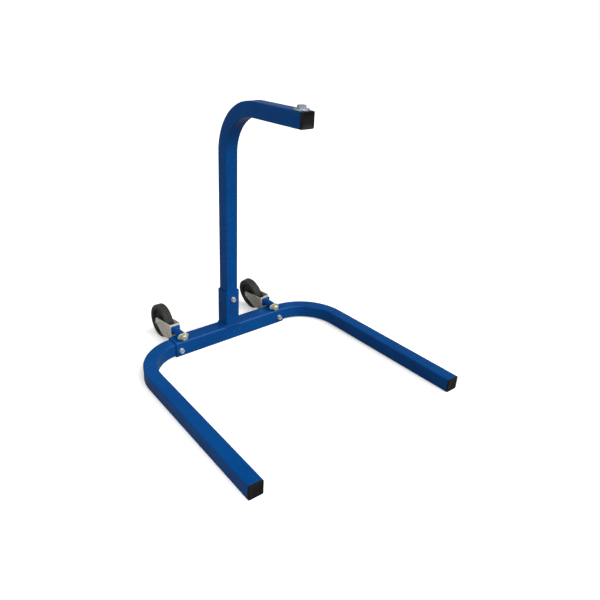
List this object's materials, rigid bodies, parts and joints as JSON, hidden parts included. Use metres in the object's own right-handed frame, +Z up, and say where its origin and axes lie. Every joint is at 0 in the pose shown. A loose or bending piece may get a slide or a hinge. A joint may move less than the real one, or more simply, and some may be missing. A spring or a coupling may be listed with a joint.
{
  "type": "paddock stand",
  "caption": "Free-standing motorcycle paddock stand: U-shaped square-tube base, upright mast bent into an arm with a vertical bolt at its end, and rear transport casters.",
  "frame": {"origin": "centre of the crossbar's flat underside, on the floor", "axes": "+X along the crossbar to the stand's right seen from behind the arm's tip, the legs and the arm point to -Y, +Z up"},
  "size_m": [0.8874, 0.9677, 0.9236],
  "materials": {
    "blue_enamel": "gloss enamel",
    "bright_zinc": "bright zinc plating",
    "yellow_zinc": "yellow-passivated zinc plating",
    "black_plastic": "satin moulded plastic",
    "black_rubber": "matte rubber"
  },
  "bodies": {
    "frame": {"crossbar": "blue_enamel", "mast_socket": "blue_enamel", "mast": "blue_enamel", "left_leg": "blue_enamel", "right_leg": "blue_enamel", "left_caster_bracket": "blue_enamel", "right_caster_bracket": "blue_enamel", "arm_cap": "black_plastic", "left_leg_cap": "black_plastic", "right_leg_cap": "black_plastic", "mast_bolt": "bright_zinc", "mast_bolt_washer": "bright_zinc", "mast_nut_washer": "bright_zinc", "mast_nut": "bright_zinc", "left_leg_bolt": "bright_zinc", "left_leg_bolt_washer": "bright_zinc", "left_leg_nut_washer": "bright_zinc", "left_leg_nut": "bright_zinc", "right_leg_bolt": "bright_zinc", "right_leg_bolt_washer": "bright_zinc", "right_leg_nut_washer": "bright_zinc", "right_leg_nut": "bright_zinc", "arm_washer": "bright_zinc", "arm_bolt": "bright_zinc", "arm_inner_nut": "bright_zinc", "left_caster_fork": "bright_zinc", "left_caster_bolt": "bright_zinc", "left_caster_washer": "bright_zinc", "left_axle_bolt": "bright_zinc", "left_axle_nut": "bright_zinc", "left_axle_tube": "bright_zinc", "left_caster_nut": "yellow_zinc", "right_caster_fork": "bright_zinc", "right_caster_bolt": "bright_zinc", "right_caster_washer": "bright_zinc", "right_axle_bolt": "bright_zinc", "right_axle_nut": "bright_zinc", "right_axle_tube": "bright_zinc", "right_caster_nut": "yellow_zinc"},
    "left_wheel": {"left_tyre": "black_rubber", "left_wheel_hub": "black_plastic", "left_wheel_bearing": "black_plastic"},
    "right_wheel": {"right_tyre": "black_rubber", "right_wheel_hub": "black_plastic", "right_wheel_bearing": "black_plastic"}
  },
  "joints": [
    {"name": "left_wheel_spin", "type": "hinge", "parent": "frame", "child": "left_wheel", "pos_m": [-0.213, 0.147, 0.0695], "axis": [1, 0, 0], "continuous": true},
    {"name": "right_wheel_spin", "type": "hinge", "parent": "frame", "child": "right_wheel", "pos_m": [0.21381, 0.147, 0.06958], "axis": [0.9816, 0, 0.1908], "continuous": true}
  ]
}
